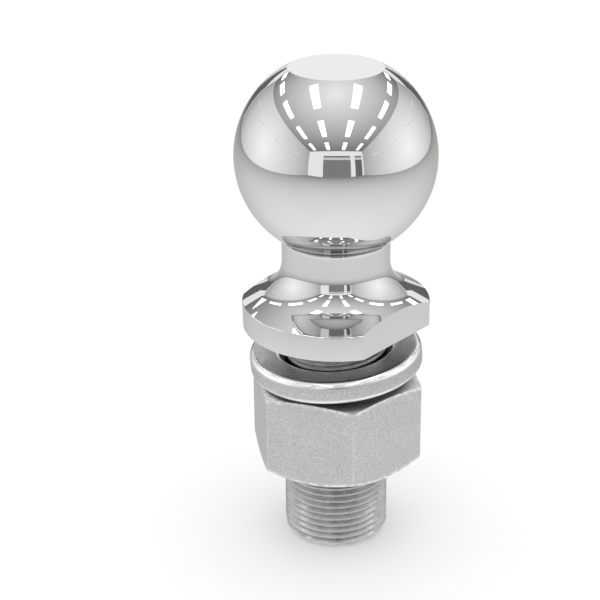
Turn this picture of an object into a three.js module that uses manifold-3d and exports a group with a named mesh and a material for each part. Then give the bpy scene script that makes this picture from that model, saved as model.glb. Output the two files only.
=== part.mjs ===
// Gooseneck hitch ball: a ball stud forged in one piece, a split lock washer and a hex nut.
//
// Millimetres, +Z up. The origin is the centre of the shank's end face, with the ball on top.
// The seat is the collar's underside, which rests on the drawbar. The collar's two wrench flats
// face +X and -X. Angles are measured round Z from +X.

import * as THREE from 'three';
import { mergeVertices } from 'three/addons/utils/BufferGeometryUtils.js';
import Module from 'manifold-3d';

const wasm = await Module();
wasm.setup();

const inch = 25.4;
const turn = 2 * Math.PI;
const degree = Math.PI / 180;

// Gap left between pieces that touch on the real object.
const touchGap = 0.3;

// Ball and neck
const ballRadius = (2 + 5 / 16) * inch / 2;
const topFlatRadius = 13.7;
const topFlatEdge = 0.5;
const neckRadius = 16;
const neckFillet = 2.4;

// Collar: a straight rim, a cone on top of it, then a hollow curve up to the neck
const ballCentreAboveSeat = 52.2;
const collarRadius = 27.9;
const collarEdge = 0.5;
const collarSlope = 26 * degree;
const flareRadius = 11.4;
const flareTopAboveSeat = 20.5;
const acrossWrenchFlats = (1 + 13 / 16) * inch;

// Shank: plain under the collar, then a 1-1/4 in - 12 right-hand thread down to the end
const shankLength = (2 + 3 / 4) * inch;
const shankRadius = 1.25 * inch / 2;
const seatFillet = 0.8;
const plainLength = 12.5;
const runoutLength = 1.6;
const endFaceRadius = 14;

// Thread form: flanks at 30 degrees, the same for the stud and, opened by the clearances, the nut
const pitch = inch / 12;
const threadRadius = 15.8;
const threadDepth = 0.6134 * pitch;
const crestWidth = pitch / 8;
const flankSlope = Math.tan(30 * degree);
const crestClearance = 0.36;
const rootClearance = 0.38;
const flankClearance = 0.18;

// Lock washer: a ring of square wire cut once, sprung a little out of flat, lying tilted on the nut
const washerInnerRadius = 16.7;
const washerOuterRadius = 26;
const washerThickness = 7.15;
const washerEdge = 1.4;
const washerRise = -2.1;
const washerSplitAngle = 100;
const washerSplitWidth = 7;
const washerTilt = 4.9;
const washerHighSide = 49;

// Hex nut, for a 1-7/8 in wrench
const acrossNutFlats = 47.1;
const nutHeight = 27.4;
const nutTopBelowSeat = 16.6;
const nutCornerAngle = 21;
const nutTopChamferSlope = Math.tan(15 * degree);
const nutBottomChamferSlope = Math.tan(30 * degree);
const nutFaceRadius = 0.96 * acrossNutFlats / 2;
const nutBoreChamfer = 1.4;

// Segments round a full turn
const roundSegments = 48;
const threadSegments = 24;
const arcStep = 9 * degree;

const seatZ = shankLength;
const ballCentreZ = seatZ + ballCentreAboveSeat;
const threadTopZ = seatZ - plainLength;
const nutTopZ = seatZ - nutTopBelowSeat;
const nutBottomZ = nutTopZ - nutHeight;

// ---------------------------------------------------------------------------------------------
// Outlines, in which x is the radius and y is the height
// ---------------------------------------------------------------------------------------------

function arc(centreX, centreY, radius, from, to) {
  const steps = Math.max(1, Math.round(Math.abs(to - from) / arcStep));
  const points = [];
  for (let step = 0; step <= steps; step += 1) {
    const angle = from + (to - from) * step / steps;
    points.push(new THREE.Vector2(centreX + radius * Math.cos(angle), centreY + radius * Math.sin(angle)));
  }
  return points;
}

// An outline from single points, written [x, y], and arcs.
function outline(...pieces) {
  return pieces.flatMap((piece) => (typeof piece[0] === 'number' ? [new THREE.Vector2(...piece)] : piece));
}

// ---------------------------------------------------------------------------------------------
// Solids
// ---------------------------------------------------------------------------------------------

// A manifold-3d solid from a closed three.js geometry, turned right side out.
function solidOf(geometry) {
  const bare = geometry.index ? geometry.toNonIndexed() : geometry.clone();
  bare.deleteAttribute('normal');
  bare.deleteAttribute('uv');
  const merged = mergeVertices(bare, 1e-4);
  const corners = merged.getAttribute('position');
  const kept = [];
  for (let face = 0; face < merged.index.count; face += 3) {
    const [a, b, c] = [0, 1, 2].map((corner) => merged.index.getX(face + corner));
    if (a !== b && b !== c && c !== a) {
      kept.push(a, b, c);
    }
  }
  if (signedVolume(corners, kept) < 0) {
    kept.reverse();
  }
  return new wasm.Manifold(new wasm.Mesh({
    numProp: 3,
    vertProperties: new Float32Array(corners.array),
    triVerts: new Uint32Array(kept),
  }));
}

function signedVolume(corners, triangles) {
  const [a, b, c] = [new THREE.Vector3(), new THREE.Vector3(), new THREE.Vector3()];
  let sum = 0;
  for (let face = 0; face < triangles.length; face += 3) {
    a.fromBufferAttribute(corners, triangles[face]);
    b.fromBufferAttribute(corners, triangles[face + 1]);
    c.fromBufferAttribute(corners, triangles[face + 2]);
    sum += a.dot(b.cross(c)) / 6;
  }
  return sum;
}

function geometryOf(solid) {
  const mesh = solid.getMesh();
  const geometry = new THREE.BufferGeometry();
  geometry.setAttribute('position', new THREE.BufferAttribute(mesh.vertProperties, mesh.numProp));
  geometry.setIndex(new THREE.BufferAttribute(mesh.triVerts, 1));
  geometry.computeVertexNormals();
  return geometry;
}

// A body of revolution about Z.
function revolved(points, segments) {
  return solidOf(new THREE.LatheGeometry(points, segments).rotateX(90 * degree));
}

// A section swept round Z. Its x is the radius and its y the height, which gains rise on the way.
function sweptRound(section, from, sweep, rise, segmentsPerTurn) {
  const steps = Math.round(Math.abs(sweep) / turn * segmentsPerTurn);
  const geometry = new THREE.ExtrudeGeometry(new THREE.Shape(section), {
    depth: 1,
    steps,
    bevelEnabled: false,
  });
  const corners = geometry.getAttribute('position');
  for (let corner = 0; corner < corners.count; corner += 1) {
    const along = corners.getZ(corner);
    const angle = from + sweep * along;
    const radius = corners.getX(corner);
    const height = corners.getY(corner) + rise * along;
    corners.setXYZ(corner, radius * Math.cos(angle), radius * Math.sin(angle), height);
  }
  return solidOf(geometry);
}

// ---------------------------------------------------------------------------------------------
// Threads
// ---------------------------------------------------------------------------------------------

// A threaded rod, a little longer than the height asked for, with a cone at each end. The ridge's
// centre line passes height 0 at angle 0, so rods of the same pitch always mesh. The ridge is
// crestHalf wide each side at crestRadius, and its flanks run down to coreRadius.
function threadedRod(coreRadius, crestRadius, crestHalf, fromZ, toZ) {
  const rootHalf = crestHalf + (crestRadius - coreRadius) * flankSlope;
  const section = [
    [coreRadius, -rootHalf],
    [crestRadius, -crestHalf],
    [crestRadius, crestHalf],
    [coreRadius, rootHalf],
  ];
  const firstStep = threadSegments * Math.floor(fromZ / pitch - 1);
  const lastStep = threadSegments * Math.ceil(toZ / pitch + 1);
  const corners = [];
  for (let step = firstStep; step <= lastStep; step += 1) {
    const angle = step / threadSegments * turn;
    for (const [radius, offset] of section) {
      const height = step / threadSegments * pitch + offset;
      corners.push(radius * Math.cos(angle), radius * Math.sin(angle), height);
    }
  }
  const sides = section.length;
  const lastSide = sides - 1;
  const steps = lastStep - firstStep;
  const corner = (step, side) => step * sides + side;
  const bottomTip = corners.length / 3;
  const topTip = bottomTip + 1;
  corners.push(0, 0, (firstStep / threadSegments - 1) * pitch);
  corners.push(0, 0, (lastStep / threadSegments + 1) * pitch);
  const faces = [];
  for (let step = 0; step < steps; step += 1) {
    for (let side = 0; side < lastSide; side += 1) {
      faces.push(corner(step, side), corner(step + 1, side), corner(step + 1, side + 1));
      faces.push(corner(step, side), corner(step + 1, side + 1), corner(step, side + 1));
    }
    if (step + threadSegments < steps) {
      const [low, high] = [corner(step, lastSide), corner(step + threadSegments, 0)];
      faces.push(low, low + sides, high + sides, low, high + sides, high);
    }
  }
  const oneTurn = [...Array(threadSegments + 1).keys()];
  const downSection = [...section.keys()].reverse();
  const bottomLoop = [
    ...oneTurn.map((step) => corner(step, 0)),
    ...downSection.slice(0, -1).map((side) => corner(0, side)),
  ];
  const topLoop = [
    ...oneTurn.map((step) => corner(steps - threadSegments + step, lastSide)),
    ...downSection.slice(1).map((side) => corner(steps, side)),
  ];
  bottomLoop.forEach((start, index) => {
    faces.push(start, bottomTip, bottomLoop[(index + 1) % bottomLoop.length]);
  });
  topLoop.forEach((start, index) => {
    faces.push(start, topLoop[(index + 1) % topLoop.length], topTip);
  });
  const geometry = new THREE.BufferGeometry();
  geometry.setAttribute('position', new THREE.Float32BufferAttribute(corners, 3));
  geometry.setIndex(faces);
  return solidOf(geometry);
}

// ---------------------------------------------------------------------------------------------
// Ball stud
// ---------------------------------------------------------------------------------------------

function ballStudOutline() {
  const flareCentreX = neckRadius + flareRadius;
  const flareCentreZ = seatZ + flareTopAboveSeat;
  const flareEnd = -90 * degree - collarSlope;
  const coneTopX = flareCentreX + flareRadius * Math.cos(flareEnd);
  const coneTopZ = flareCentreZ + flareRadius * Math.sin(flareEnd);
  const coneZ = (x) => coneTopZ - (x - coneTopX) * Math.tan(collarSlope);
  const neckFilletX = neckRadius + neckFillet;
  const neckFilletZ = ballCentreZ - Math.sqrt((ballRadius + neckFillet) ** 2 - neckFilletX ** 2);
  const ballStart = Math.atan2(neckFilletZ - ballCentreZ, neckFilletX);
  const ballEnd = Math.acos((topFlatRadius + topFlatEdge) / ballRadius);
  const topFlatZ = ballCentreZ + Math.sqrt(ballRadius ** 2 - topFlatRadius ** 2);
  const runoutTopZ = threadTopZ + runoutLength;
  const runoutBottomRadius = shankRadius - threadDepth - runoutLength / 2;
  return outline(
    [0, threadTopZ],
    [runoutBottomRadius, threadTopZ],
    [shankRadius, runoutTopZ],
    [shankRadius, seatZ - seatFillet],
    [shankRadius + seatFillet, seatZ],
    [collarRadius - collarEdge, seatZ],
    [collarRadius, seatZ + collarEdge],
    [collarRadius, coneZ(collarRadius) - collarEdge],
    [collarRadius - collarEdge, coneZ(collarRadius - collarEdge)],
    arc(flareCentreX, flareCentreZ, flareRadius, flareEnd, -180 * degree),
    arc(neckFilletX, neckFilletZ, neckFillet, 180 * degree, 180 * degree + ballStart),
    arc(0, ballCentreZ, ballRadius, ballStart, ballEnd).slice(1),
    [topFlatRadius, topFlatZ],
    [0, topFlatZ],
  );
}

function ballStud() {
  const body = revolved(ballStudOutline(), roundSegments);
  const rodTopZ = threadTopZ + pitch;
  const endChamfer = revolved(
    outline(
      [0, 0],
      [endFaceRadius, 0],
      [threadRadius + 1, threadRadius + 1 - endFaceRadius],
      [threadRadius + 1, rodTopZ + pitch],
      [0, rodTopZ + pitch],
    ),
    roundSegments,
  );
  const coreRadius = threadRadius - threadDepth;
  const rodBottomZ = -3 * pitch;
  const rod = threadedRod(coreRadius, threadRadius, crestWidth / 2, rodBottomZ, rodTopZ);
  const wrenchDepth = collarRadius;
  const cutter = new THREE.BoxGeometry(wrenchDepth, 4 * collarRadius, flareTopAboveSeat);
  const cutterX = (acrossWrenchFlats + wrenchDepth) / 2;
  let stud = body.add(rod.intersect(endChamfer));
  for (const side of [1, -1]) {
    stud = stud.subtract(solidOf(cutter.clone().translate(side * cutterX, 0, seatZ)));
  }
  return geometryOf(stud);
}

// ---------------------------------------------------------------------------------------------
// Lock washer
// ---------------------------------------------------------------------------------------------

function lockWasher() {
  const [inner, outer] = [washerInnerRadius, washerOuterRadius];
  const half = washerThickness / 2;
  const edge = washerEdge;
  const corner = (x, y, from) => arc(x, y, edge, from * degree, (from + 90) * degree)
    .filter((_, index) => index % 4 === 0);
  const section = outline(
    corner(inner + edge, edge - half, 180),
    corner(outer - edge, edge - half, 270),
    corner(outer - edge, half - edge, 0),
    corner(inner + edge, half - edge, 90),
  ).map((point) => point.add(new THREE.Vector2(0, -washerRise / 2)));
  const from = (washerSplitAngle + washerSplitWidth / 2) * degree;
  const sweep = turn - washerSplitWidth * degree;
  const geometry = geometryOf(sweptRound(section, from, sweep, washerRise, roundSegments));
  const tiltAxis = new THREE.Vector3(0, 0, 1)
    .cross(new THREE.Vector3(Math.cos(washerHighSide * degree), Math.sin(washerHighSide * degree), 0));
  const tilt = new THREE.Matrix4().makeRotationAxis(tiltAxis, -washerTilt * degree);
  geometry.applyMatrix4(tilt);
  geometry.computeBoundingBox();
  return geometry.translate(0, 0, nutTopZ + touchGap - geometry.boundingBox.min.z);
}

// ---------------------------------------------------------------------------------------------
// Hex nut
// ---------------------------------------------------------------------------------------------

function hexNut() {
  const cornerRadius = acrossNutFlats / 2 / Math.cos(30 * degree);
  const corners = [0, 1, 2, 3, 4, 5].map((index) => {
    const angle = nutCornerAngle * degree + index * turn / 6;
    return new THREE.Vector2(cornerRadius * Math.cos(angle), cornerRadius * Math.sin(angle));
  });
  const prism = new THREE.ExtrudeGeometry(new THREE.Shape(corners), {
    depth: nutHeight,
    bevelEnabled: false,
  }).translate(0, 0, nutBottomZ);
  const chamferReach = cornerRadius + 1;
  const chamferWidth = chamferReach - nutFaceRadius;
  const chamfered = revolved(
    outline(
      [0, nutBottomZ],
      [nutFaceRadius, nutBottomZ],
      [chamferReach, nutBottomZ + chamferWidth * nutBottomChamferSlope],
      [chamferReach, nutTopZ - chamferWidth * nutTopChamferSlope],
      [nutFaceRadius, nutTopZ],
      [0, nutTopZ],
    ),
    roundSegments,
  );
  const coreRadius = threadRadius - threadDepth + rootClearance;
  const grooveRadius = threadRadius + crestClearance;
  const grooveHalf = crestWidth / 2 + flankClearance - crestClearance * flankSlope;
  const tapBottomZ = pitch * Math.floor(nutBottomZ / pitch - 3);
  const tapTopZ = pitch * Math.ceil(nutTopZ / pitch + 3);
  const tap = threadedRod(coreRadius, grooveRadius, grooveHalf, tapBottomZ, tapTopZ);
  const mouthRadius = coreRadius + nutBoreChamfer;
  const waistRadius = coreRadius - 1;
  const mouthDepth = mouthRadius - waistRadius;
  const mouths = revolved(
    outline(
      [0, nutBottomZ - 1],
      [mouthRadius + 1, nutBottomZ - 1],
      [waistRadius, nutBottomZ + mouthDepth],
      [waistRadius, nutTopZ - mouthDepth],
      [mouthRadius + 1, nutTopZ + 1],
      [0, nutTopZ + 1],
    ),
    threadSegments,
  );
  return geometryOf(solidOf(prism).intersect(chamfered).subtract(tap).subtract(mouths));
}

// ---------------------------------------------------------------------------------------------
// Assembly
// ---------------------------------------------------------------------------------------------

const mirrorChrome = new THREE.MeshStandardMaterial({ color: 0xd8dadb, roughness: 0.06, metalness: 1 });
const satinSteel = new THREE.MeshStandardMaterial({ color: 0xb4b5b6, roughness: 0.42, metalness: 1 });
const satinNut = new THREE.MeshStandardMaterial({ color: 0xbcbdbd, roughness: 0.38, metalness: 1 });

function named(name, geometry, material) {
  const mesh = new THREE.Mesh(geometry, material);
  mesh.name = name;
  return mesh;
}

const group = new THREE.Group();
group.add(
  named('ball_stud', ballStud(), mirrorChrome),
  named('lock_washer', lockWasher(), satinSteel),
  named('hex_nut', hexNut(), satinNut),
);

export default group;
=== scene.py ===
"""Gooseneck hitch ball: chromed ball stud, split lock washer and hex nut, in a bright studio room.

Sizes are in millimetres and become metres in each mesh. Angles round Z are measured from +X.
"""

import math

import bmesh
import bpy
from mathutils import Matrix, Vector


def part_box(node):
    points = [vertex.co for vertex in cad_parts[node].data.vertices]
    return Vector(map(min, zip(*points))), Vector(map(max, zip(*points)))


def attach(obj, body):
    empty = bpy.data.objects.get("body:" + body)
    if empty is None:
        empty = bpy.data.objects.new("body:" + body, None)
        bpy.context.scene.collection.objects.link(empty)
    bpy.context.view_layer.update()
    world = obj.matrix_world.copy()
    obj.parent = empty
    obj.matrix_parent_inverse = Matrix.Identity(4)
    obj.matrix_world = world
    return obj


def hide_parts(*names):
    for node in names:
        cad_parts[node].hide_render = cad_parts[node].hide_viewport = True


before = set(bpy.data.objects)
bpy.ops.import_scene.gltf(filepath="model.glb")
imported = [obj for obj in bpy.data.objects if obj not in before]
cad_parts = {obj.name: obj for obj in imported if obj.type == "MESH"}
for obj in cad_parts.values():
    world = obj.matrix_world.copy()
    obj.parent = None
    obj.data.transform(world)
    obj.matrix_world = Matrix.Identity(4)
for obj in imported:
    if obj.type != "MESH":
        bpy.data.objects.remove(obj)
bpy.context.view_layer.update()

MM = 0.001
INCH = 25.4
TURN = 2 * math.pi
QUARTER = math.pi / 2


def box_mm(node):
    """A node's lowest and highest corners, in millimetres."""
    low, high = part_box(node)
    return low / MM, high / MM


WASHER_LOW = box_mm("lock_washer")[0]
NUT_LOW, NUT_HIGH = box_mm("hex_nut")

# Ball, neck and collar
BALL_RADIUS = (2 + 5 / 16) * INCH / 2
TOP_FLAT_RADIUS = 13.7
TOP_FLAT_EDGE = 0.3
NECK_RADIUS = 16
NECK_FILLET = 2.4
BALL_CENTRE_ABOVE_SEAT = 52.2
COLLAR_RADIUS = 27.9
COLLAR_EDGE = 0.45
COLLAR_SLOPE = math.radians(26)
FLARE_RADIUS = 11.4
FLARE_TOP_ABOVE_SEAT = 20.5
ACROSS_WRENCH_FLATS = (1 + 13 / 16) * INCH

# Shank and thread
SHANK_LENGTH = (2 + 3 / 4) * INCH
SHANK_RADIUS = 1.25 * INCH / 2
SEAT_FILLET = 0.8
THREAD_TOP = SHANK_LENGTH - 12.5
RUNOUT = 1.6
END_FACE_RADIUS = 14
PITCH = INCH / 12
THREAD_RADIUS = 15.8
THREAD_DEPTH = 0.6134 * PITCH
CREST_WIDTH = PITCH / 8
THREAD_ROUNDING = 0.09
FLANK_SLOPE = math.tan(math.radians(30))

# Lock washer. Its flats are darkened to a grey as painted shade, up to FLAT_FADE below their height.
WASHER_INNER = 16.7
WASHER_OUTER = 26
WASHER_THICKNESS = 7.15
WASHER_EDGE = 2
WASHER_RISE = -2.1
WASHER_SPLIT_ANGLE = 100
WASHER_SPLIT_WIDTH = 7
WASHER_TILT = 4.9
WASHER_HIGH_SIDE = 49
FLAT_FADE = 0.12

# Nut
ACROSS_NUT_FLATS = 47.1
NUT_CORNER_ANGLE = 21
NUT_FACE_RADIUS = 0.96 * ACROSS_NUT_FLATS / 2
NUT_TOP_SLOPE = math.tan(math.radians(15))
NUT_BOTTOM_SLOPE = math.tan(math.radians(30))
NUT_EDGE = 0.3
NUT_CORNER_ROUND = 1.3
NUT_MOUTH = 0.9
NUT_CORE_CLEARANCE = 0.25
NUT_GROOVE_CLEARANCE = 0.2
NUT_SIDE_STEPS = (1.2, 3, 6, 9)

# How worn the nut's edges are, from 0 to 1, and how far corner wear reaches, in shares of a side
SHOULDER_WEAR = 1
RIM_WEAR = 0.3
CORNER_WEAR = 0.4
CORNER_WEAR_FULL = 0.004
CORNER_WEAR_END = 0.016

# Segments round a full turn, and rows of the nut's bore to one pitch
ROUND_SEGMENTS = 256
THREAD_SEGMENTS = 160
BORE_ROWS_PER_PITCH = 12

# A corner this close to a cutting plane is on it, in millimetres
TOLERANCE = 1e-4

SEAT_Z = SHANK_LENGTH
BALL_Z = SEAT_Z + BALL_CENTRE_ABOVE_SEAT


# ------------------------------------------------------------------------------------------
# Meshes
# ------------------------------------------------------------------------------------------

def arc(centre_r, centre_z, radius, start, end, steps):
    """Points on a circle in the radius-height plane, angles in radians."""
    points = []
    for step in range(steps + 1):
        angle = start + (end - start) * step / steps
        points.append((centre_r + radius * math.cos(angle), centre_z + radius * math.sin(angle)))
    return points


def add_object(name, bm, materials):
    """An object in metres from a bmesh in millimetres, shaded smooth."""
    bm.normal_update()
    bmesh.ops.scale(bm, vec=(MM, MM, MM), verts=bm.verts)
    mesh = bpy.data.meshes.new(name)
    bm.to_mesh(mesh)
    bm.free()
    for material in materials:
        mesh.materials.append(material)
    mesh.shade_smooth()
    piece = bpy.data.objects.new(name, mesh)
    bpy.context.scene.collection.objects.link(piece)
    return piece


def ring(bm, radius, height, segments):
    """A level ring of vertices round Z."""
    corners = []
    for index in range(segments):
        angle = TURN * index / segments
        corners.append(bm.verts.new((radius * math.cos(angle), radius * math.sin(angle), height)))
    return corners


def join_rings(bm, lower, upper):
    """Joins two closed rings of the same count with faces."""
    count = len(lower)
    for index in range(count):
        after = (index + 1) % count
        bm.faces.new((lower[index], lower[after], upper[after], upper[index]))


def lathe(profile, segments):
    """A closed body of revolution. The profile runs up from the axis and back to it."""
    bm = bmesh.new()
    rings = [ring(bm, radius, height, segments) for radius, height in profile[1:-1]]
    for lower, upper in zip(rings, rings[1:]):
        join_rings(bm, lower, upper)
    bottom = bm.verts.new((0, 0, profile[0][1]))
    top = bm.verts.new((0, 0, profile[-1][1]))
    for index in range(segments):
        after = (index + 1) % segments
        bm.faces.new((bottom, rings[0][after], rings[0][index]))
        bm.faces.new((top, rings[-1][index], rings[-1][after]))
    return bm


def cut_plane(bm, point, normal, below=math.inf):
    """Removes what lies past the plane, up to a height, and closes the cut with flat faces."""
    faces = [f for f in bm.faces if all(v.co.z < below for v in f.verts)]
    edges = list(dict.fromkeys(e for f in faces for e in f.edges))
    verts = list(dict.fromkeys(v for f in faces for v in f.verts))
    bmesh.ops.bisect_plane(bm, geom=faces + edges + verts, dist=TOLERANCE / 100, plane_co=point,
                           plane_no=normal, clear_outer=True)
    plane_point, plane_normal = Vector(point), Vector(normal)
    rim = [e for e in bm.edges if e.is_boundary
           and all(abs((v.co - plane_point).dot(plane_normal)) < TOLERANCE for v in e.verts)]
    bmesh.ops.triangle_fill(bm, edges=rim, use_beauty=True, normal=normal)


def sharpen(bm, angle_degrees):
    """Marks the edges that turn by more than an angle as sharp."""
    limit = math.radians(angle_degrees)
    for edge in bm.edges:
        if len(edge.link_faces) == 2 and edge.calc_face_angle() > limit:
            edge.smooth = False


# ------------------------------------------------------------------------------------------
# Ball stud
# ------------------------------------------------------------------------------------------

def body_profile():
    """The stud's outline above the shank, from the axis up the outside and back, as (radius, height)."""
    flare_r = NECK_RADIUS + FLARE_RADIUS
    flare_z = SEAT_Z + FLARE_TOP_ABOVE_SEAT
    flare_end = -QUARTER - COLLAR_SLOPE
    cone_top_r = flare_r + FLARE_RADIUS * math.cos(flare_end)
    cone_top_z = flare_z + FLARE_RADIUS * math.sin(flare_end)
    rim_r = COLLAR_RADIUS - COLLAR_EDGE
    rim_touch_r = rim_r + COLLAR_EDGE * math.sin(COLLAR_SLOPE)
    rim_touch_z = cone_top_z - (rim_touch_r - cone_top_r) * math.tan(COLLAR_SLOPE)
    rim_z = rim_touch_z - COLLAR_EDGE * math.cos(COLLAR_SLOPE)
    fillet_r = NECK_RADIUS + NECK_FILLET
    fillet_z = BALL_Z - math.sqrt((BALL_RADIUS + NECK_FILLET) ** 2 - fillet_r ** 2)
    ball_start = math.atan2(fillet_z - BALL_Z, fillet_r)
    flat_z = BALL_Z + math.sqrt(BALL_RADIUS ** 2 - TOP_FLAT_RADIUS ** 2)
    ball_end = math.acos((TOP_FLAT_RADIUS + TOP_FLAT_EDGE) / BALL_RADIUS)
    return (
        [(0, SEAT_Z - SEAT_FILLET), (SHANK_RADIUS, SEAT_Z - SEAT_FILLET)]
        + arc(SHANK_RADIUS + SEAT_FILLET, SEAT_Z - SEAT_FILLET, SEAT_FILLET, math.pi, QUARTER, 6)[1:]
        + arc(rim_r, SEAT_Z + COLLAR_EDGE, COLLAR_EDGE, -QUARTER, 0, 6)
        + arc(rim_r, rim_z, COLLAR_EDGE, 0, QUARTER - COLLAR_SLOPE, 5)
        + arc(flare_r, flare_z, FLARE_RADIUS, flare_end, -math.pi, 56)
        + arc(fillet_r, fillet_z, NECK_FILLET, math.pi, math.pi + ball_start, 16)
        + arc(0, BALL_Z, BALL_RADIUS, ball_start, ball_end, 96)[1:]
        + [(TOP_FLAT_RADIUS, flat_z), (0, flat_z)]
    )


# A face whose normal rises by more than this is level
LEVEL_NORMAL = 0.999


def ball_and_collar(chrome, faced_chrome):
    bm = lathe(body_profile(), ROUND_SEGMENTS)
    half = ACROSS_WRENCH_FLATS / 2
    for side in (1, -1):
        cut_plane(bm, (side * half, 0, 0), (side, 0, 0), SEAT_Z + FLARE_TOP_ABOVE_SEAT)
    bm.normal_update()
    for face in bm.faces:
        faces_up = face.normal.z > LEVEL_NORMAL
        if faces_up and face.calc_center_median().z > BALL_Z:
            face.material_index = 1
    sharpen(bm, 20)
    return add_object("ball_and_collar", bm, [chrome, faced_chrome])


def thread_section(crest_radius, root_radius, crest_width, edge, steps):
    """One pitch of a thread with rounded crest and root, as (phase, radius), phase -0.5 to 0.5."""
    slope_length = (crest_radius - root_radius) * FLANK_SLOPE
    crest_middle = (0, crest_radius)
    crest_end = (crest_width / 2, crest_radius)
    root_start = (crest_width / 2 + slope_length, root_radius)
    root_middle = (PITCH / 2, root_radius)
    half = [crest_middle]
    half += corner_points(crest_middle, crest_end, root_start, edge, steps)
    half += corner_points(crest_end, root_start, root_middle, edge, steps)
    right = [(offset / PITCH, radius) for offset, radius in half]
    left = [(-phase, radius) for phase, radius in reversed(right[1:])]
    return [(-0.5, root_radius)] + left + right


def corner_points(before, corner, after, edge, steps):
    """A corner rounded by a short curve that leaves its sides edge away from it."""
    c = Vector(corner)
    start = c + (Vector(before) - c).normalized() * edge
    end = c + (Vector(after) - c).normalized() * edge
    points = []
    for step in range(steps + 1):
        t = step / steps
        p = start * (1 - t) ** 2 + c * 2 * t * (1 - t) + end * t ** 2
        points.append((p.x, p.y))
    return points


def smooth_step(value, low, high):
    """Rises smoothly from 0 at low to 1 at high."""
    t = min(max((value - low) / (high - low), 0), 1)
    return t * t * (3 - 2 * t)


def helical_tube(section, low, high, radius_at, segments):
    """A tube from below low to above high whose rows follow the thread, the ridge at angle 0, height 0."""
    bm = bmesh.new()
    first = math.floor(low / PITCH) - 2
    last = math.ceil(high / PITCH) + 1
    turns = range(first, last + 1)
    rows = [(turn, phase, radius) for turn in turns for phase, radius in section]
    columns = []
    for column in range(segments):
        share = column / segments
        angle = TURN * share
        corners = []
        for turn, phase, radius in rows:
            height = (turn + phase + share) * PITCH
            r = radius_at(radius, height)
            corners.append(bm.verts.new((r * math.cos(angle), r * math.sin(angle), height)))
        columns.append(corners)
    count = len(rows)
    shift = len(section)
    for column in range(segments):
        wraps = column == segments - 1
        here = columns[column]
        there = columns[0][shift:] if wraps else columns[column + 1]
        for row in range(min(count, len(there)) - 1):
            bm.faces.new((here[row], there[row], there[row + 1], here[row + 1]))
    return bm


def threaded_shank(steel):
    root_radius = THREAD_RADIUS - THREAD_DEPTH
    section = thread_section(THREAD_RADIUS, root_radius, CREST_WIDTH, THREAD_ROUNDING, 2)

    def radius_at(radius, height):
        """The thread's radius, led out to the plain shank above it and chamfered at the end."""
        plain = smooth_step(height, THREAD_TOP - RUNOUT / 2, THREAD_TOP + RUNOUT)
        radius = radius + (SHANK_RADIUS - radius) * plain
        return min(radius, END_FACE_RADIUS + max(height, 0))

    bm = helical_tube(section, 0, SEAT_Z, radius_at, THREAD_SEGMENTS)
    cut_plane(bm, (0, 0, 0), (0, 0, -1))
    cut_plane(bm, (0, 0, SEAT_Z - SEAT_FILLET), (0, 0, 1))
    sharpen(bm, 50)
    return add_object("threaded_shank", bm, [steel])


# ------------------------------------------------------------------------------------------
# Lock washer
# ------------------------------------------------------------------------------------------

def washer_section():
    """The wire's rounded section, anticlockwise, as (radius, height about its middle)."""
    half = WASHER_THICKNESS / 2
    e = WASHER_EDGE
    corners = (
        (WASHER_INNER + e, e - half, 2 * QUARTER),
        (WASHER_OUTER - e, e - half, 3 * QUARTER),
        (WASHER_OUTER - e, half - e, 0),
        (WASHER_INNER + e, half - e, QUARTER),
    )
    points = []
    for r, z, start in corners:
        points += arc(r, z, e, start, start + QUARTER, 8)
    return points


def lock_washer(steel):
    """The section swept round Z, rising on the way. It marks its flats, for a painted shade, and its
    rounded edges, for a painted highlight.
    """
    bm = bmesh.new()
    flat = bm.verts.layers.float.new("flat")
    edge = bm.verts.layers.float.new("edge")
    section = washer_section()
    half = WASHER_THICKNESS / 2
    start = math.radians(WASHER_SPLIT_ANGLE + WASHER_SPLIT_WIDTH / 2)
    sweep = TURN - math.radians(WASHER_SPLIT_WIDTH)
    stations = []
    for step in range(ROUND_SEGMENTS + 1):
        share = step / ROUND_SEGMENTS
        angle = start + sweep * share
        lift = WASHER_RISE * (share - 0.5)
        station = []
        for r, z in section:
            vert = bm.verts.new((r * math.cos(angle), r * math.sin(angle), z + lift))
            rounding = min((abs(z) - half) / WASHER_EDGE + 1, 1)
            # flat masks the painted shade on the flats; edge masks the painted highlight on the rounded
            # edges
            vert[flat] = smooth_step(abs(z), half - FLAT_FADE, half)
            vert[edge] = 2 * rounding * math.sqrt(1 - rounding ** 2)
            station.append(vert)
        stations.append(station)
    for here, there in zip(stations, stations[1:]):
        join_rings(bm, here, there)
    bm.faces.new(stations[0])
    bm.faces.new(list(reversed(stations[-1])))
    bmesh.ops.recalc_face_normals(bm, faces=bm.faces)
    high_side = math.radians(WASHER_HIGH_SIDE)
    axis = Vector((0, 0, 1)).cross(Vector((math.cos(high_side), math.sin(high_side), 0)))
    tilt = Matrix.Rotation(-math.radians(WASHER_TILT), 4, axis)
    bmesh.ops.transform(bm, matrix=tilt, verts=bm.verts)
    lowest = min(v.co.z for v in bm.verts)
    bmesh.ops.translate(bm, verts=bm.verts, vec=(0, 0, WASHER_LOW.z - lowest))
    sharpen(bm, 50)
    return add_object("spring_washer", bm, [steel])


# ------------------------------------------------------------------------------------------
# Hex nut
# ------------------------------------------------------------------------------------------

SIDE = TURN / 6
HALF_SIDE = SIDE / 2


def angle_from_corner(angle):
    past_corner = (angle - math.radians(NUT_CORNER_ANGLE)) % SIDE
    return min(past_corner, SIDE - past_corner)


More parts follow.
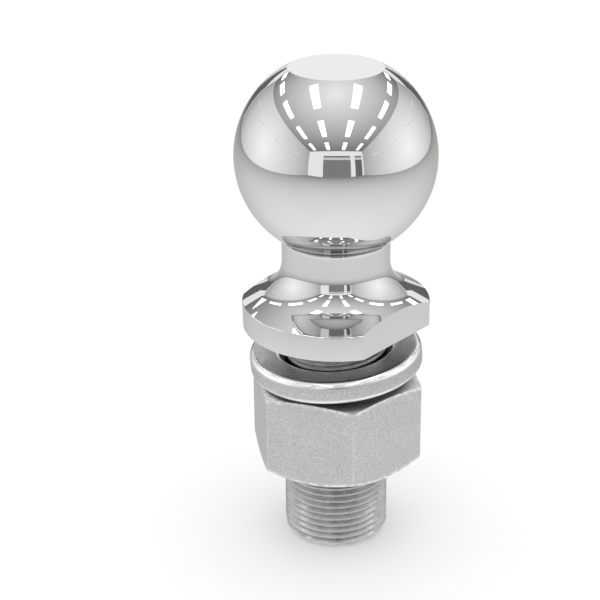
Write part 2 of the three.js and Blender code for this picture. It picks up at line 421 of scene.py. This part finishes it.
def hexagon_radius(angle):
    """Distance from the axis to the nut's side at an angle, its six corners slightly rounded."""
    half = ACROSS_NUT_FLATS / 2
    from_corner = angle_from_corner(angle)
    straight = half / math.cos(HALF_SIDE - from_corner)
    corner = half / math.cos(HALF_SIDE)
    centre = corner - NUT_CORNER_ROUND * (1 / math.cos(HALF_SIDE) - 1) - NUT_CORNER_ROUND
    along = centre * math.cos(from_corner)
    across = centre * math.sin(from_corner)
    rounded = along + math.sqrt(max(NUT_CORNER_ROUND ** 2 - across ** 2, 0))
    touch_along = centre + NUT_CORNER_ROUND * math.cos(HALF_SIDE)
    touch_across = NUT_CORNER_ROUND * math.sin(HALF_SIDE)
    return rounded if from_corner < math.atan2(touch_across, touch_along) else straight


# Where the outline has points, in shares of a side: close together at a corner, then even
NEAR_CORNER = (0, 0.002, 0.004, 0.007, 0.010, 0.0135, 0.018, 0.025, 0.035)
EVEN_FROM = 0.05
EVEN_STEPS = 24


def nut_angles():
    """Angles round the nut, closer together at its corners."""
    even = [EVEN_FROM + (0.5 - EVEN_FROM) * step / EVEN_STEPS for step in range(EVEN_STEPS + 1)]
    to_middle = [*NEAR_CORNER, *even]
    shares = to_middle + [1 - share for share in reversed(to_middle[1:-1])]
    corner = math.radians(NUT_CORNER_ANGLE)
    return [corner + SIDE * (index + share) for index in range(6) for share in shares]


def nut_side(angle):
    """The nut's outline at one angle, from the top bore edge down, as (radius, height, wear)."""
    reach = hexagon_radius(angle)
    middle = (NUT_HIGH.z + NUT_LOW.z) / 2
    mouth = THREAD_RADIUS + NUT_MOUTH

    def half(face, slope, inward):
        """From the bore over the face, the rim and the shoulder to the side, inward from the face."""
        shoulder = face + inward * (reach - NUT_FACE_RADIUS) * slope
        inner, rim, side = (mouth, face), (NUT_FACE_RADIUS, face), (reach, shoulder)
        rim_points = corner_points(inner, rim, side, NUT_EDGE, 4)
        shoulder_points = corner_points(rim, side, (reach, middle), NUT_EDGE, 4)
        outline = [(*inner, 0), (NUT_FACE_RADIUS - 1, face, 0)]
        outline += [(r, z, RIM_WEAR) for r, z in rim_points]
        outline += [(r, z, SHOULDER_WEAR) for r, z in shoulder_points]
        return outline + [(reach, shoulder + inward * step, 0) for step in NUT_SIDE_STEPS]

    upper = half(NUT_HIGH.z, NUT_TOP_SLOPE, -1)
    lower = half(NUT_LOW.z, NUT_BOTTOM_SLOPE, 1)
    return upper + [(reach, middle, 0)] + lower[::-1]


def nut_bore(angle):
    """The threaded bore at one angle, from the bottom up, as (radius, height, wear)."""
    core = THREAD_RADIUS - THREAD_DEPTH + NUT_CORE_CLEARANCE
    groove = THREAD_RADIUS + NUT_GROOVE_CLEARANCE
    top, bottom = NUT_HIGH.z, NUT_LOW.z
    rows = round((top - bottom) / PITCH * BORE_ROWS_PER_PITCH)
    mouth = THREAD_RADIUS + NUT_MOUTH
    points = []
    for row in range(1, rows):
        z = bottom + (top - bottom) * row / rows
        phase = (z / PITCH - angle / TURN + 0.5) % 1 - 0.5
        ridge = groove - max(abs(phase) * PITCH - CREST_WIDTH / 2, 0) / FLANK_SLOPE
        mouth_cone = mouth - min(z - bottom, top - z)
        points.append((max(ridge, core, mouth_cone), z, 0))
    return points


def hex_nut(steel):
    """One closed loop of outline and bore for each angle. It marks how worn each point is."""
    bm = bmesh.new()
    worn = bm.verts.layers.float.new("worn")
    loops = []
    for angle in nut_angles():
        off_corner = angle_from_corner(angle) / SIDE
        corner_wear = CORNER_WEAR * (1 - smooth_step(off_corner, CORNER_WEAR_FULL, CORNER_WEAR_END))
        loop = []
        for r, z, wear in nut_side(angle) + nut_bore(angle):
            vert = bm.verts.new((r * math.cos(angle), r * math.sin(angle), z))
            vert[worn] = max(wear, corner_wear)
            loop.append(vert)
        loops.append(loop)
    for here, there in zip(loops, loops[1:] + loops[:1]):
        join_rings(bm, here, there)
    bmesh.ops.recalc_face_normals(bm, faces=bm.faces)
    sharpen(bm, 60)
    return add_object("nut", bm, [steel])


# ------------------------------------------------------------------------------------------
# Materials
# ------------------------------------------------------------------------------------------

def new_material(name):
    material = bpy.data.materials.new(name)
    material.use_nodes = True
    tree = material.node_tree
    tree.nodes.clear()
    output = tree.nodes.new("ShaderNodeOutputMaterial")
    return material, tree, output


def feed(tree, socket, value):
    """Sets a socket from another socket, a number or a colour."""
    if isinstance(value, bpy.types.NodeSocket):
        tree.links.new(value, socket)
    elif isinstance(value, (int, float)):
        socket.default_value = value
    else:
        socket.default_value = (*value, 1) if len(value) == 3 and socket.type == "RGBA" else value


def math_node(tree, operation, first, second=0.0):
    node = tree.nodes.new("ShaderNodeMath")
    node.operation = operation
    feed(tree, node.inputs[0], first)
    feed(tree, node.inputs[1], second)
    return node.outputs[0]


def vector_node(tree, operation, first, second=(0, 0, 0)):
    node = tree.nodes.new("ShaderNodeVectorMath")
    node.operation = operation
    feed(tree, node.inputs[0], first)
    feed(tree, node.inputs[1], second)
    return node.outputs["Value"] if operation == "LENGTH" else node.outputs["Vector"]


def piece_position(tree):
    """Where a point is on its piece, in millimetres."""
    place = tree.nodes.new("ShaderNodeTexCoord").outputs["Object"]
    return vector_node(tree, "MULTIPLY", place, (1 / MM, 1 / MM, 1 / MM))


def speckle(tree, place, per_mm, detail=2.0):
    """Smooth noise from 0 to 1, with about so many spots to a millimetre."""
    node = tree.nodes.new("ShaderNodeTexNoise")
    feed(tree, node.inputs["Vector"], place)
    node.inputs["Scale"].default_value = per_mm
    node.inputs["Detail"].default_value = detail
    return node.outputs["Fac"]


def span(tree, value, low, high, to_low, to_high):
    """Maps a value from one range to another, clamped."""
    node = tree.nodes.new("ShaderNodeMapRange")
    feed(tree, node.inputs["Value"], value)
    for name, number in (("From Min", low), ("From Max", high), ("To Min", to_low), ("To Max", to_high)):
        feed(tree, node.inputs[name], number)
    return node.outputs["Result"]


def blend_colour(tree, factor, first, second):
    node = tree.nodes.new("ShaderNodeMix")
    node.data_type = "RGBA"
    feed(tree, node.inputs["Factor"], factor)
    colours = [socket for socket in node.inputs if socket.type == "RGBA"]
    feed(tree, colours[0], first)
    feed(tree, colours[1], second)
    return next(socket for socket in node.outputs if socket.type == "RGBA")


def bump(tree, height, depth_mm, under=None):
    """A normal for a relief of a depth, on top of the relief under it."""
    node = tree.nodes.new("ShaderNodeBump")
    node.inputs["Distance"].default_value = depth_mm * MM
    feed(tree, node.inputs["Height"], height)
    if under is not None:
        tree.links.new(under, node.inputs["Normal"])
    return node.outputs[0]


def attribute(tree, name):
    node = tree.nodes.new("ShaderNodeAttribute")
    node.attribute_name = name
    return node.outputs["Fac"]


def grey(level, warmth=0.0):
    return (level + warmth, level, level - warmth)


# Dims the reflection near grazing angles
GRAZING_TINT = 0.72


def metal(tree, output, colour, roughness, normal=None):
    shader = tree.nodes.new("ShaderNodeBsdfPrincipled")
    shader.inputs["Metallic"].default_value = 1
    shader.inputs["Specular Tint"].default_value = (*grey(GRAZING_TINT), 1)
    feed(tree, shader.inputs["Base Color"], colour)
    feed(tree, shader.inputs["Roughness"], roughness)
    if normal is not None:
        tree.links.new(normal, shader.inputs["Normal"])
    tree.links.new(shader.outputs[0], output.inputs["Surface"])


def mirror_chrome():
    """Bright plating with a faint haze and a very shallow waviness from the polishing wheel."""
    material, tree, output = new_material("mirror_chrome")
    place = piece_position(tree)
    haze = speckle(tree, place, 0.12, 4)
    roughness = span(tree, haze, 0.35, 0.7, 0.018, 0.045)
    tint = blend_colour(tree, span(tree, haze, 0.3, 0.7, 0, 1), grey(0.66, 0.002), grey(0.68))
    metal(tree, output, tint, roughness, bump(tree, speckle(tree, place, 0.25), 0.0012))
    return material


RINGS_PER_MM = 6


def faced_chrome():
    """Plating over the turned face on top of the ball, with fine rings left by the tool."""
    material, tree, output = new_material("faced_chrome")
    place = piece_position(tree)
    radius = vector_node(tree, "LENGTH", vector_node(tree, "MULTIPLY", place, (1, 1, 0)))
    rings = math_node(tree, "SINE", math_node(tree, "MULTIPLY", radius, TURN * RINGS_PER_MM))
    grain = speckle(tree, place, 3, 3)
    normal = bump(tree, rings, 0.0004, bump(tree, grain, 0.004))
    tint = blend_colour(tree, span(tree, grain, 0.35, 0.65, 0, 1), grey(0.86), grey(0.9))
    metal(tree, output, tint, span(tree, grain, 0.3, 0.7, 0.16, 0.26), normal)
    return material


def shank_steel():
    """Satin plating with soft blotches and a fine grain, smoother above the thread."""
    material, tree, output = new_material("shank_steel")
    place = piece_position(tree)
    grain = speckle(tree, place, 2.6, 3)
    blotch = speckle(tree, place, 0.35, 3)
    split = tree.nodes.new("ShaderNodeSeparateXYZ")
    feed(tree, split.inputs[0], place)
    threaded = span(tree, split.outputs["Z"], THREAD_TOP, THREAD_TOP + RUNOUT, 1, 0)
    tint = blend_colour(tree, span(tree, blotch, 0.3, 0.7, 0, 1), grey(0.50), grey(0.60, 0.002))
    rough = math_node(tree, "MULTIPLY", threaded, span(tree, blotch, 0.3, 0.7, 0.12, 0.22))
    normal = bump(tree, grain, 0.005)
    metal(tree, output, tint, math_node(tree, "ADD", rough, 0.12), normal)
    return material


def washer_steel():
    """Zinc on rolled spring wire: rounded edges brightened to near white as a painted highlight, and flats
    darkened to a grey as painted shade.
    """
    material, tree, output = new_material("washer_steel")
    place = piece_position(tree)
    grain = speckle(tree, place, 2, 4)
    blotch = speckle(tree, place, 0.2, 3)
    flat, edge = attribute(tree, "flat"), attribute(tree, "edge")
    grain_share = span(tree, grain, 0.38, 0.62, 0, 1)
    wall = blend_colour(tree, grain_share, grey(0.46), grey(0.61))
    # Painted highlight: the rounded edges are brightened to near white
    bright = blend_colour(tree, edge, wall, grey(0.95))
    # Painted shade: the flats are darkened to this grey
    painted_shade_flats = blend_colour(tree, grain_share, grey(0.30), grey(0.44))
    roughness = math_node(tree, "SUBTRACT", span(tree, blotch, 0.3, 0.7, 0.27, 0.33),
                          math_node(tree, "MULTIPLY", edge, 0.13))
    metal(tree, output, blend_colour(tree, flat, bright, painted_shade_flats), roughness, bump(tree, grain, 0.014))
    return material


def nut_steel():
    """Zinc over forged faces: an even satin grain, and edges rubbed bright in broken patches."""
    material, tree, output = new_material("nut_steel")
    place = piece_position(tree)
    grain = speckle(tree, place, 2, 4)
    blotch = speckle(tree, place, 0.12, 3)
    pits = span(tree, speckle(tree, place, 1.6, 1), 0.72, 0.78, 0, 0.5)
    patches = span(tree, speckle(tree, place, 0.7, 3), 0.42, 0.58, 0.25, 1)
    worn = math_node(tree, "MULTIPLY", attribute(tree, "worn"), patches)
    satin = blend_colour(tree, span(tree, grain, 0.38, 0.62, 0, 1), grey(0.51), grey(0.68))
    satin = blend_colour(tree, span(tree, blotch, 0.3, 0.7, 0, 0.35), satin, grey(0.53, 0.004))
    satin = blend_colour(tree, pits, satin, grey(0.2))
    tint = blend_colour(tree, worn, satin, grey(0.85))
    roughness = math_node(tree, "SUBTRACT", span(tree, blotch, 0.3, 0.7, 0.40, 0.48),
                          math_node(tree, "MULTIPLY", worn, 0.12))
    metal(tree, output, tint, roughness, bump(tree, grain, 0.016, bump(tree, blotch, 0.03)))
    return material


# ------------------------------------------------------------------------------------------
# Studio
# ------------------------------------------------------------------------------------------

# The camera and the room are turned about Z together
VIEW_TURN = Matrix.Rotation(math.radians(40), 3, "Z")

# The room is seen only in reflections. It is measured from the ball in CEILING, the ceiling's height
# above the ball in metres. Its front wall, at -Y, is behind the camera.
CEILING = 5.0
ROOM_HALF_WIDTH = 1.36
ROOM_HALF_LENGTH = 2.33
ROOM_FLOOR = -0.22
WALL_GLOW_HEIGHT = 0.18

# Panels on a wall or the ceiling stand this far in front of it
CEILING_GAP = 0.005
WALL_GAP = 0.01

LAMP_ROWS = (-1.0, -0.335, 0.335, 1.0)
LAMP_PITCH = 0.93
LAMP_WIDTH = 0.14
LAMP_LENGTH = 0.6

# Short rails along the side walls, each with its shadow below it
RAIL_PLACES = (-1.36, -0.44, 0.44, 1.36)
RAIL_HEIGHT = 0.512
RAIL_SHADOW_HEIGHT = 0.498
RAIL_HALF_LENGTH = 0.17
RAIL_HALF_DEPTH = 0.007

# Doorways as (left, right). Those in front have a lintel with a dark slot above it.
MAIN_DOOR = (-0.58, 0.67)
SIDE_DOOR = (0.89, 1.26)
BACK_DOORS = ((-1.3, -0.62), (0.62, 1.3))
DOOR_TOP = 0.57
LINTEL_TOP = 0.68
SLOT_TOP = 0.76
BACK_DOOR_TOP = 0.55


def room_point(place):
    """A point of the room, in metres."""
    return Vector((0, 0, BALL_Z * MM)) + VIEW_TURN @ Vector(place) * CEILING


def glow(name, strength, fade=0.0, centre=(0, 0, 0), weights=(1, 1, 1), tint=(1, 1, 1)):
    """Light that is strongest at a centre and falls away exponentially with the distance from it."""
    material, tree, output = new_material(name)
    shader = tree.nodes.new("ShaderNodeEmission")
    shader.inputs["Color"].default_value = (*tint, 1)
    if fade:
        place = tree.nodes.new("ShaderNodeNewGeometry").outputs["Position"]
        offset = vector_node(tree, "SUBTRACT", place, tuple(room_point(centre)))
        scaled = vector_node(tree, "MULTIPLY", offset, tuple(w / CEILING for w in weights))
        distance = vector_node(tree, "LENGTH", scaled)
        falloff = math_node(tree, "EXPONENT", math_node(tree, "MULTIPLY", distance, -fade))
        feed(tree, shader.inputs["Strength"], math_node(tree, "MULTIPLY", falloff, strength))
    else:
        shader.inputs["Strength"].default_value = strength
    tree.links.new(shader.outputs[0], output.inputs["Surface"])
    return material


def room_panel(name, centre, across, up, material):
    """A rectangle of the room, from its centre and two half sides."""
    c, a, u = Vector(centre), Vector(across), Vector(up)
    corners = [room_point(c + a * i + u * j) for i, j in ((-1, -1), (1, -1), (1, 1), (-1, 1))]
    mesh = bpy.data.meshes.new(name)
    mesh.from_pydata(corners, [], [(0, 1, 2, 3)])
    mesh.materials.append(material)
    panel = bpy.data.objects.new(name, mesh)
    bpy.context.scene.collection.objects.link(panel)
    panel.visible_camera = False
    panel.visible_diffuse = False
    panel.visible_shadow = False


def end_wall_panel(name, wall, left, right, bottom, top, material):
    """A rectangle just in front of the room's front wall (-1) or back wall (1)."""
    y = wall * (ROOM_HALF_LENGTH - WALL_GAP)
    centre = ((left + right) / 2, y, (bottom + top) / 2)
    room_panel(name, centre, ((right - left) / 2, 0, 0), (0, 0, (top - bottom) / 2), material)


def build_shell():
    wide, long, low = ROOM_HALF_WIDTH, ROOM_HALF_LENGTH, ROOM_FLOOR
    middle, tall = (1 + low) / 2, (1 - low) / 2
    level = (1, 1, 0)
    ceiling = glow("ceiling", 1.24, 0.65, weights=level)
    room_panel("room_ceiling", (0, 0, 1), (wide, 0, 0), (0, long, 0), ceiling)
    floor = glow("room_floor", 1.17, 0.57, weights=level, tint=(1, 1, 0.985))
    room_panel("room_floor", (0, 0, low), (wide, 0, 0), (0, long, 0), floor)
    for side in (1, -1):
        wall = glow("side_wall", 1.36, 0.37, (side * wide, 0, WALL_GLOW_HEIGHT))
        room_panel("room_side", (side * wide, 0, middle), (0, long, 0), (0, 0, tall), wall)
    room_panel("room_front", (0, -long, middle), (wide, 0, 0), (0, 0, tall), glow("front_wall", 1.15))
    room_panel("room_back", (0, long, middle), (wide, 0, 0), (0, 0, tall), glow("back_wall", 1.25))


def build_lamps():
    lamp = glow("lamp", 3.4)
    across, along = (LAMP_WIDTH / 2, 0, 0), (0, LAMP_LENGTH / 2, 0)
    for row in LAMP_ROWS:
        for place in range(-2, 3):
            room_panel("room_lamp", (row, place * LAMP_PITCH, 1 - CEILING_GAP), across, along, lamp)


def build_rails():
    rail, shadow = glow("rail", 1.7), glow("rail_shadow", 0.5)
    along, up = (0, RAIL_HALF_LENGTH, 0), (0, 0, RAIL_HALF_DEPTH)
    for side in (1, -1):
        x = side * (ROOM_HALF_WIDTH - WALL_GAP)
        for place in RAIL_PLACES:
            room_panel("room_rail", (x, place, RAIL_HEIGHT), along, up, rail)
            room_panel("room_rail_shadow", (x, place, RAIL_SHADOW_HEIGHT), along, up, shadow)


def build_doors():
    dark, darker = glow("doorway", 0.29), glow("doorway_end", 0.2)
    lintel, slot = glow("lintel", 0.86), glow("lintel_shadow", 0.25)
    for (left, right), shade in ((MAIN_DOOR, dark), (SIDE_DOOR, darker)):
        end_wall_panel("room_door", -1, left, right, ROOM_FLOOR, DOOR_TOP, shade)
        end_wall_panel("room_lintel", -1, left, right, DOOR_TOP, LINTEL_TOP, lintel)
        end_wall_panel("room_slot", -1, left, right, LINTEL_TOP, SLOT_TOP, slot)
    for left, right in BACK_DOORS:
        end_wall_panel("room_back_door", 1, left, right, ROOM_FLOOR, BACK_DOOR_TOP, darker)


def build_room():
    build_shell()
    build_lamps()
    build_rails()
    build_doors()


# Half the side of the pale floor, in metres
FLOOR_REACH = 40


def build_floor():
    material, tree, output = new_material("pale_floor")
    shader = tree.nodes.new("ShaderNodeBsdfPrincipled")
    shader.inputs["Base Color"].default_value = (0.93, 0.93, 0.93, 1)
    shader.inputs["Roughness"].default_value = 0.9
    tree.links.new(shader.outputs[0], output.inputs["Surface"])
    mesh = bpy.data.meshes.new("floor")
    corners = [(x * FLOOR_REACH, y * FLOOR_REACH, 0) for x, y in ((-1, -1), (1, -1), (1, 1), (-1, 1))]
    mesh.from_pydata(corners, [], [(0, 1, 2, 3)])
    mesh.materials.append(material)
    floor = bpy.data.objects.new("floor", mesh)
    bpy.context.scene.collection.objects.link(floor)
    floor.visible_glossy = False


def build_world():
    world = bpy.data.worlds.new("studio")
    world.use_nodes = True
    background = world.node_tree.nodes["Background"]
    background.inputs["Color"].default_value = (1, 1, 1, 1)
    background.inputs["Strength"].default_value = 1.15
    bpy.context.scene.world = world
    bpy.context.scene.view_settings.view_transform = "Standard"


# The camera looks down at a point on the axis under the ball. Its distance and elevation are from the
# ball's centre, and the picture is shifted sideways.
CAMERA_DISTANCE = 455.0
CAMERA_ELEVATION = math.radians(18.879)
AIM_BELOW_BALL = 45.315
LENS = 95.127
SENSOR_WIDTH = 36
SHIFT = -0.06


def build_camera():
    data = bpy.data.cameras.new("camera")
    data.lens = LENS
    data.sensor_width = SENSOR_WIDTH
    data.shift_x = SHIFT
    data.clip_start = 0.01
    camera = bpy.data.objects.new("camera", data)
    bpy.context.scene.collection.objects.link(camera)
    ball = Vector((0, 0, BALL_Z))
    back = CAMERA_DISTANCE * math.cos(CAMERA_ELEVATION)
    rise = CAMERA_DISTANCE * math.sin(CAMERA_ELEVATION)
    place = ball + VIEW_TURN @ Vector((0, -back, rise))
    aim = ball - Vector((0, 0, AIM_BELOW_BALL))
    camera.location = place * MM
    camera.rotation_euler = (aim - place).to_track_quat("-Z", "Y").to_euler()
    bpy.context.scene.camera = camera


# ------------------------------------------------------------------------------------------
# Assembly
# ------------------------------------------------------------------------------------------

build_camera()
build_world()
build_floor()
build_room()

for piece, body, node, slot in (
    (ball_and_collar(mirror_chrome(), faced_chrome()), "stud", "ball_stud", "stud_chrome"),
    (threaded_shank(shank_steel()), "stud", "ball_stud", "shank_satin"),
    (lock_washer(washer_steel()), "washer", "lock_washer", "washer_zinc"),
    (hex_nut(nut_steel()), "nut", "hex_nut", "nut_zinc"),
):
    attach(piece, body)
    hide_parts(node)
